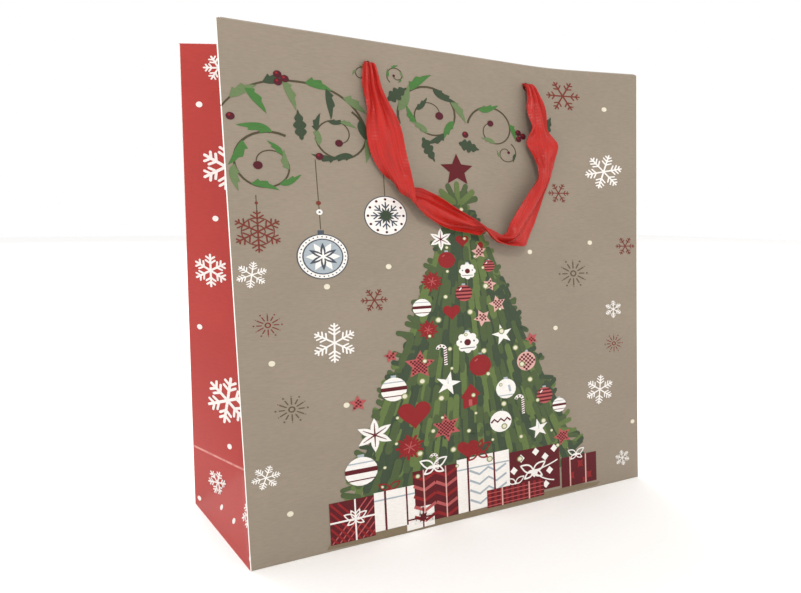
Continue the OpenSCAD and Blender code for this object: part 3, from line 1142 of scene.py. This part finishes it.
class GIFTBAG_OT_walls(bpy.types.Operator):
    """Make the printed front and back, with their turned tops and cards"""

    bl_idname = "gift_bag.walls"
    bl_label = "Front and back"

    def execute(self, context):
        bag, colours = bag_of(context), context.scene.gift_bag_colours
        sizes = context.scene.gift_bag_sizes
        kraft = kraft_paper(colours, bag.half_width)
        lining, board = lining_paper(colours), recycled_board(colours)
        round_top = bag.paper + bag.card / 2
        foot, slack = 0.3, 0.03    # gaps below the sheet, and on each face of the card
        hem_inset, card_inset = 3, 12
        for side in ("front", "back"):
            sheet = bent_grid(f"{side}_sheet", (-bag.half_width, bag.half_width),
                              (foot, bag.height - round_top), lambda x, y: bag.wall(side, x, y))
            thicken(sheet, bag.paper, kraft, lining, lining)
            self.finish(sheet, bag, side, sizes, f"{side}_panel", "printed_kraft")
            hem_depth = sizes.hem / MM
            arc = pi * round_top

            def turned(x, y):
                if y < arc:
                    a = y / round_top
                    return bag.wall(side, x, bag.height - round_top + round_top * sin(a),
                                    -round_top + round_top * cos(a))
                return bag.wall(side, x, bag.height - round_top - (y - arc), -2 * round_top)

            reach = bag.half_width - hem_inset
            hem = bent_grid(f"{side}_turned_top", (-reach, reach), (0, hem_depth + arc), turned, rows=48)
            thicken(hem, bag.paper, kraft, lining, lining)
            self.finish(hem, bag, side, sizes, f"{side}_top_hem", "printed_kraft")
            reach = bag.half_width - card_inset
            card = bent_grid(f"{side}_card_strip", (-reach, reach),
                             (bag.height - round_top - sizes.card_height / MM, bag.height - round_top),
                             lambda x, y: bag.wall(side, x, y, -bag.paper - slack))
            thicken(card, bag.card - 2 * slack, board, board, board)
            self.finish(card, bag, side, sizes, f"{side}_top_card", "grey_board")
        return {"FINISHED"}

    @staticmethod
    def finish(piece, bag, side, sizes, node, slot):
        punch_holes(piece, bag, side, sizes.hole / MM)
        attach(piece, side)
        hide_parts(node)


class GIFTBAG_OT_gussets(bpy.types.Operator):
    """Make the red side gussets, folded in along their middle and creased near the bottom"""

    bl_idname = "gift_bag.gussets"
    bl_label = "Gussets"

    def execute(self, context):
        bag, colours = bag_of(context), context.scene.gift_bag_colours
        red = red_paper(colours, bag.crease)
        lining = lining_paper(colours)
        low_rows, high_rows = 12, 55
        rows = low_rows + high_rows
        hem_depth = context.scene.gift_bag_sizes.hem / MM
        top = bag.height - bag.paper
        corner_gap, fold_gap, hem_share = 2, 1.5, 0.9

        def height_of(row):
            if row <= low_rows:
                return bag.crease * row / low_rows
            return bag.crease + (top - bag.crease) * (row - low_rows) / high_rows

        for end, side in GUSSET_HALVES:
            mirrored = (end < 0) == (side == "front")
            name = half_name(end, side)
            half = bent_grid(f"{name}_half", (0, bag.half_depth), (0, rows),
                             lambda x, y: bag.gusset(end, side, x, height_of(y)), mirrored, rows)
            for loop in half.data.uv_layers["paper"].data:
                loop.uv[1] = height_of(loop.uv[1] / MM) * MM
            thicken(half, bag.paper, red, lining, lining)
            bend_with_gusset(half, bag, end, side)
            hand, where = hand_of(end), where_of(side)
            nodes = [f"{hand}_gusset_{where}_fold"] + ([f"{hand}_gusset_middle"] if side == "front" else [])
            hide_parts(*nodes)
            arc = pi * bag.paper

            def turned(x, y):
                if y < arc:
                    a = y / bag.paper
                    return bag.gusset(end, side, x, top + bag.paper * sin(a), bag.paper * (cos(a) - 1))
                return bag.gusset(end, side, x, top - (y - arc), -2 * bag.paper)

            hem = bent_grid(f"{name}_turned_top", (corner_gap, bag.half_depth - fold_gap),
                            (0, hem_depth + arc), turned, mirrored, rows=40)
            thicken(hem, bag.paper * hem_share, red, lining, lining)
            bend_with_gusset(hem, bag, end, side)
            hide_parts(f"{hand}_{where}_gusset_hem")
        return {"FINISHED"}


class GIFTBAG_OT_bottom(bpy.types.Operator):
    """Give the folded bottom, the glued seam and the base board their papers"""

    bl_idname = "gift_bag.bottom"
    bl_label = "Bottom"

    def execute(self, context):
        bag, colours = bag_of(context), context.scene.gift_bag_colours
        kraft = kraft_paper(colours, bag.half_width)
        red = red_paper(colours, bag.crease)
        papers = {
            "bottom_outer_flap": kraft, "bottom_inner_flap": kraft,
            "left_bottom_tuck": red, "right_bottom_tuck": red,
            "side_seam_flap": lining_paper(colours), "base_board": recycled_board(colours),
        }
        for node, material in papers.items():
            for place in frame["nodes"][node].material_slots:
                place.material = material
        return {"FINISHED"}


PRINTS = (("scrollwork", scroll_art), ("hanging_baubles", hanging_art), ("fir_tree", tree_art),
          ("tree_lights", light_art), ("tree_ornaments", ornament_art), ("presents", present_art),
          ("snowflakes", snow_art))


class GIFTBAG_OT_print(bpy.types.Operator):
    """Print the front and back: scrollwork, baubles, fir tree, ornaments, presents and snow"""

    bl_idname = "gift_bag.print"
    bl_label = "Print"

    def execute(self, context):
        bag, colours = bag_of(context), context.scene.gift_bag_colours
        for name, draw in PRINTS:
            art = draw()
            for side in ("front", "back"):
                piece = print_piece(f"{side}_{name}", art,
                                    lambda x, y, lift: bag.wall(side, x, y, lift), colours)
                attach(piece, side)
        return {"FINISHED"}


class GIFTBAG_OT_gusset_print(bpy.types.Operator):
    """Print snowflakes and dots on the gussets"""

    bl_idname = "gift_bag.gusset_print"
    bl_label = "Gusset print"

    def execute(self, context):
        bag, colours = bag_of(context), context.scene.gift_bag_colours
        art = gusset_art()
        for end, side in GUSSET_HALVES:
            mirrored = (end < 0) == (side == "front")
            piece = print_piece(f"{half_name(end, side)}_snowflakes", art,
                                lambda x, y, lift: bag.gusset(end, side, x, y, lift), colours, mirrored)
            bend_with_gusset(piece, bag, end, side)
        return {"FINISHED"}


# The ribbon's two edges as it hangs, each (across, up, out), and how far its middle bulges,
# from one hole to the other
HANG = [
    ((-70.0, 305.2, -3), (-64.0, 305.2, -3), 0),
    ((-72.0, 303.5, 3), (-63.0, 302.5, 4), 0),
    ((-73.5, 292, 4), (-60.5, 289, 6.5), 0),
    ((-72.5, 279, 4.5), (-55.5, 277, 8), 0),
    ((-73.0, 264, 4), (-50.0, 264, 9), 0),
    ((-71.0, 250, 4), (-47.5, 248, 10), 0),
    ((-63.0, 237, 4), (-45.5, 236, 11), 2),
    ((-52.0, 231, 2), (-43.5, 226, 12), 5),
    ((-42.0, 229, 2), (-41.0, 217, 12), 3),
    ((-33.0, 227, 5), (-33.0, 211, 9), 0),
    ((-22.0, 222, 8), (-20.0, 204, 6), 0),
    ((-11.0, 216, 9), (-8.0, 200.5, 5), 0),
    ((-1.0, 210, 11), (4.0, 199, 4), 1),
    ((8.5, 204, 12), (12.0, 198, 4), 3),
    ((18.0, 194, 11), (20.0, 201, 4), 1),
    ((30.0, 190, 8), (29.0, 198, 5), 0),
    ((42.0, 189.5, 7), (36.0, 199, 7), 0),
    ((53.0, 190.5, 4), (39.0, 208, 10), 0),
    ((60.0, 200, 3), (46.0, 217, 11), 0),
    ((68.0, 214, 3), (54.0, 226, 12), 0),
    ((75.0, 228, 4), (62.5, 235, 12), 0),
    ((80.0, 240, 7), (66.0, 243, 9), 1),
    ((83.5, 251, 9), (65.5, 252, 5), 0),
    ((86.0, 262, 9), (61.0, 263, 4), 0),
    ((81.0, 274, 6), (62.0, 274, 8), 0),
    ((80.0, 286, 5), (62.0, 286, 7), 0),
    ((76.0, 296, 4.5), (63.0, 296, 5), 0),
    ((72.0, 303.5, 3), (63.5, 303.5, 3.5), 0),
    ((70.0, 305.2, -3), (64.0, 305.2, -3), 0),
]


def between(values, place):
    """A smooth line through a row of points, at a place that counts them from 0."""
    i = min(int(place), len(values) - 2)
    t = place - i
    a, b, c, d = (values[min(max(k, 0), len(values) - 1)] for k in (i - 1, i, i + 1, i + 2))
    return 0.5 * (2 * b + (c - a) * t + (2 * a - 5 * b + 4 * c - d) * t * t
                  + (3 * b - a - 3 * c + d) * t ** 3)


def ribbon_rings(width, rings_each=7, columns=24):
    """Rings of points along the hanging ribbon; where its edges come close, the spare width pleats."""
    look, least_chord, deepest = 0.2, 0.5, 2.6
    most_waves, fewest_waves = 3.0, 1.5
    broad, fine = 0.9, 0.45    # heights of the crumples
    near = [Vector(pair[0]) for pair in HANG]
    far = [Vector(pair[1]) for pair in HANG]
    bulges = [pair[2] for pair in HANG]
    rings, length, last = [], 0.0, None
    count = (len(HANG) - 1) * rings_each
    for ring in range(count + 1):
        place = ring / rings_each
        a, b = between(near, place), between(far, place)
        ahead = min(place + look, len(HANG) - 1)
        behind = max(place - look, 0)
        way = (between(near, ahead) + between(far, ahead)) - (between(near, behind) + between(far, behind))
        chord = b - a
        normal = way.cross(chord).normalized()
        if normal.length < 0.5:
            normal = Vector((0, 0, 1))
        gather = max(width / max(chord.length, least_chord) - 1, 0)
        end_share = min(place, len(HANG) - 1 - place)
        waves = most_waves if end_share < 2 else max(fewest_waves, most_waves - 0.6 * (end_share - 2))
        bulge = between(bulges, place)
        depth = min(chord.length / (pi * waves) * sqrt(gather), deepest) / (1 + 0.5 * abs(bulge))
        points = []
        for column in range(columns + 1):
            share = column / columns
            wave = depth * sin(2 * pi * waves * (share - 0.5) + 0.8 + 0.35 * place)
            wave += bulge * sin(pi * share)
            crumple = broad * noise.noise(Vector((share * 2.2, place * 0.75, 3.7)))
            crumple += fine * noise.noise(Vector((share * 6, place * 1.9, 8.1)))
            points.append(a + chord * share + normal * (wave + crumple * min(1, end_share)))
        middle = (a + b) / 2
        if last is not None:
            length += (middle - last).length
        last = middle
        rings.append((points, length))
    return rings, length


class GIFTBAG_OT_handles(bpy.types.Operator):
    """Make the two satin ribbon handles, twisted and creased as they hang"""

    bl_idname = "gift_bag.handles"
    bl_label = "Ribbon handles"

    def execute(self, context):
        bag, colours = bag_of(context), context.scene.gift_bag_colours
        sizes = context.scene.gift_bag_sizes
        satin = satin_ribbon(colours)
        width = sizes.ribbon_width / MM
        rings, length = ribbon_rings(width)
        columns = len(rings[0][0]) - 1
        off_paper, bend = 0.9, 16    # gap kept behind the ribbon, and a length measured down from the hole
        for side in ("front", "back"):
            mesh = bpy.data.meshes.new(f"{side}_ribbon")
            build = bmesh.new()
            uv = build.loops.layers.uv.new("paper")
            flat, grid = {}, []
            for points, along in rings:
                row = []
                for column, point in enumerate(points):
                    out = point.z if along < 1 or along > length - 1 else max(point.z, off_paper)
                    vertex = build.verts.new(bag.wall(side, point.x, point.y, out) * MM)
                    flat[vertex] = (width * column / columns * MM, along * MM)
                    row.append(vertex)
                grid.append(row)
            for row, above in zip(grid, grid[1:]):
                for i in range(columns):
                    face = build.faces.new((row[i], row[i + 1], above[i + 1], above[i]))
                    for loop in face.loops:
                        loop[uv].uv = flat[loop.vert]
            build.to_mesh(mesh)
            build.free()
            piece = bpy.data.objects.new(f"{side}_ribbon", mesh)
            context.scene.collection.objects.link(piece)
            mesh.materials.append(satin)
            apply_modifier(piece, "SOLIDIFY", thickness=sizes.ribbon_thick, offset=0)
            smooth(piece, 80)
            start = bag.wall(side, 0, bag.hole_up, 2) * MM
            end = bag.wall(side, 0, bag.hole_up - bend, 2) * MM
            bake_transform(piece)
            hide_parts(f"{side}_handle_ribbon")
            knots = [make_knot(bag, side, hand, satin) for hand in (-1, 1)]
        return {"FINISHED"}


def make_knot(bag, side, hand, satin):
    """The overhand knot behind a hole: a tight ball of ribbon turns, and two short cut tails."""
    deselect()
    bpy.ops.mesh.primitive_uv_sphere_add(segments=40, ring_count=24, radius=1)
    piece = bpy.context.object
    mesh = piece.data
    depth = 2 * bag.paper + bag.card
    across = hand * bag.hole_across
    wide, high, thick, behind = 5.4, 4.3, 4.4, 4.6    # half sizes of the ball, and its middle's place
    steps, edges, tail_length, tail_start, tail_end = 8, 6, 22, 3, 9
    for vertex in mesh.vertices:
        x, y, z = vertex.co
        turn = atan2(y, x)
        ridge = 1 + 0.09 * sin(3 * turn + 5 * z) + 0.05 * sin(7 * z + 2 * turn)
        vertex.co = bag.wall(side, across + wide * x * ridge, bag.hole_up + high * y * ridge,
                             -depth - behind + thick * z * ridge) * MM
    build = bmesh.new()
    build.from_mesh(mesh)
    for slant in (-5, 6):
        rows = []
        for step in range(steps + 1):
            drop = tail_length * step / steps
            spread = tail_start + (tail_end - tail_start) * step / steps
            row = []
            for edge in range(edges + 1):
                share = edge / edges - 0.5
                out = -depth - 4.2 + 0.8 * sin(6 * share + step * 0.7) + slant * 0.15
                skew = 2.5 * share if step == steps else 0    # the tail's end is cut on the slant
                row.append(build.verts.new(bag.wall(side, across + slant * step / steps + spread * share,
                                                    bag.hole_up - 2 - drop + skew, out) * MM))
            rows.append(row)
        for row, below in zip(rows, rows[1:]):
            for i in range(edges):
                build.faces.new((row[i], below[i], below[i + 1], row[i + 1]))
        tail = [f for f in build.faces if f.verts[0] in {v for r in rows for v in r}]
        bmesh.ops.solidify(build, geom=tail, thickness=0.5 * MM)
    bmesh.ops.recalc_face_normals(build, faces=build.faces[:])
    build.to_mesh(mesh)
    build.free()
    mesh.materials.append(satin)
    mesh.uv_layers[0].name = "paper"
    where = "left" if (hand < 0) == (side == "front") else "right"
    piece.name = mesh.name = f"{side}_{where}_ribbon_knot"
    smooth(piece, 60)
    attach(piece, side)
    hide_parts(f"{side}_{where}_knot")
    return piece


class GIFTBAG_OT_stage(bpy.types.Operator):
    """Make the pale floor, the soft lights and the camera"""

    bl_idname = "gift_bag.stage"
    bl_label = "Stage"

    def execute(self, context):
        self.camera(context)
        self.floor()
        self.lights(context)
        return {"FINISHED"}

    @staticmethod
    def camera(context):
        place = Vector((-0.3022, -0.4592, 0.2121))
        yaw, pitch, roll = radians(30.28), radians(8.07), radians(0.48)
        forward = Vector((sin(yaw) * cos(pitch), cos(yaw) * cos(pitch), -sin(pitch)))
        right = Vector((cos(yaw), -sin(yaw), 0))
        above = right.cross(forward)
        right, above = right * cos(roll) + above * sin(roll), above * cos(roll) - right * sin(roll)
        data = bpy.data.cameras.new("camera")
        data.sensor_width, data.lens = 36, 33.23
        data.shift_x, data.shift_y = 0.0104, 0.0262
        data.clip_start = 0.01
        camera = bpy.data.objects.new("camera", data)
        turn = Matrix((right, above, -forward)).transposed()
        camera.matrix_world = Matrix.Translation(place) @ turn.to_4x4()
        context.scene.collection.objects.link(camera)
        context.scene.camera = camera

    @staticmethod
    def floor():
        deselect()
        bpy.ops.mesh.primitive_plane_add(size=12)
        floor_piece = bpy.context.object
        floor_piece.name = "studio_floor"
        material, tree = blank_material("pale studio paper")
        soft = fibres(tree, 3, 1)
        base = toned(tree, opaque(srgb("#fbfaf9")), soft, 0.99, 1.01).outputs["Result"]
        close_shader(tree, base, 0.9, soft, 0.00002)
        floor_piece.data.materials.append(material)

    @staticmethod
    def lights(context):
        world = bpy.data.worlds.new("studio")
        world.use_nodes = True
        tree = world.node_tree
        tree.nodes.clear()
        sky = add(tree, "Background", {"Color": (1, 1, 1, 1), "Strength": 1.0})
        add(tree, "OutputWorld", {"Surface": sky.outputs[0]})
        context.scene.world = world
        context.scene.view_settings.view_transform = "Standard"
        aimed_at = Vector((0, 0, 0.16))
        for name, place, size, power, colour in (
                ("key", (-0.9, -1.5, 1.5), 0.35, 15, "#fff8f0"),
                ("side", (1.6, -1.3, 0.7), 1.0, 3, "#ffedd8"),
                ("floor light", (0.0, 2.6, 2.6), 3.0, 110, "#ffffff")):
            data = bpy.data.lights.new(name, "AREA")
            data.size, data.energy, data.color = size, power, srgb(colour)
            lamp = bpy.data.objects.new(name, data)
            lamp.location = place
            aim = aimed_at - lamp.location
            lamp.rotation_euler = aim.to_track_quat("-Z", "Y").to_euler()
            context.scene.collection.objects.link(lamp)


BUILD_ORDER = (GIFTBAG_OT_stage, GIFTBAG_OT_walls, GIFTBAG_OT_gussets, GIFTBAG_OT_bottom, GIFTBAG_OT_print,
               GIFTBAG_OT_gusset_print, GIFTBAG_OT_handles)


class GIFTBAG_PT_sidebar(bpy.types.Panel):
    """Shows the gift bag's sizes and colours, and a button for each building step"""

    bl_idname = "GIFTBAG_PT_sidebar"
    bl_label = "Gift Bag"
    bl_space_type = "VIEW_3D"
    bl_region_type = "UI"
    bl_category = "Gift Bag"

    def draw(self, context):
        for group in (context.scene.gift_bag_sizes, context.scene.gift_bag_colours):
            column = self.layout.column()
            for name in group.bl_rna.properties.keys()[1:]:
                if name != "name":
                    column.prop(group, name)
        for operator in BUILD_ORDER:
            self.layout.operator(operator.bl_idname)


CLASSES = (BagSizes, BagColours, *BUILD_ORDER, GIFTBAG_PT_sidebar)


def register():
    for each in CLASSES:
        bpy.utils.register_class(each)
    bpy.types.Scene.gift_bag_sizes = bpy.props.PointerProperty(type=BagSizes)
    bpy.types.Scene.gift_bag_colours = bpy.props.PointerProperty(type=BagColours)


def unregister():
    del bpy.types.Scene.gift_bag_colours
    del bpy.types.Scene.gift_bag_sizes
    for each in reversed(CLASSES):
        bpy.utils.unregister_class(each)


def main():
    register()
    for operator in BUILD_ORDER:
        group, name = operator.bl_idname.split(".")
        getattr(getattr(bpy.ops, group), name)()


if __name__ == "__main__":
    main()
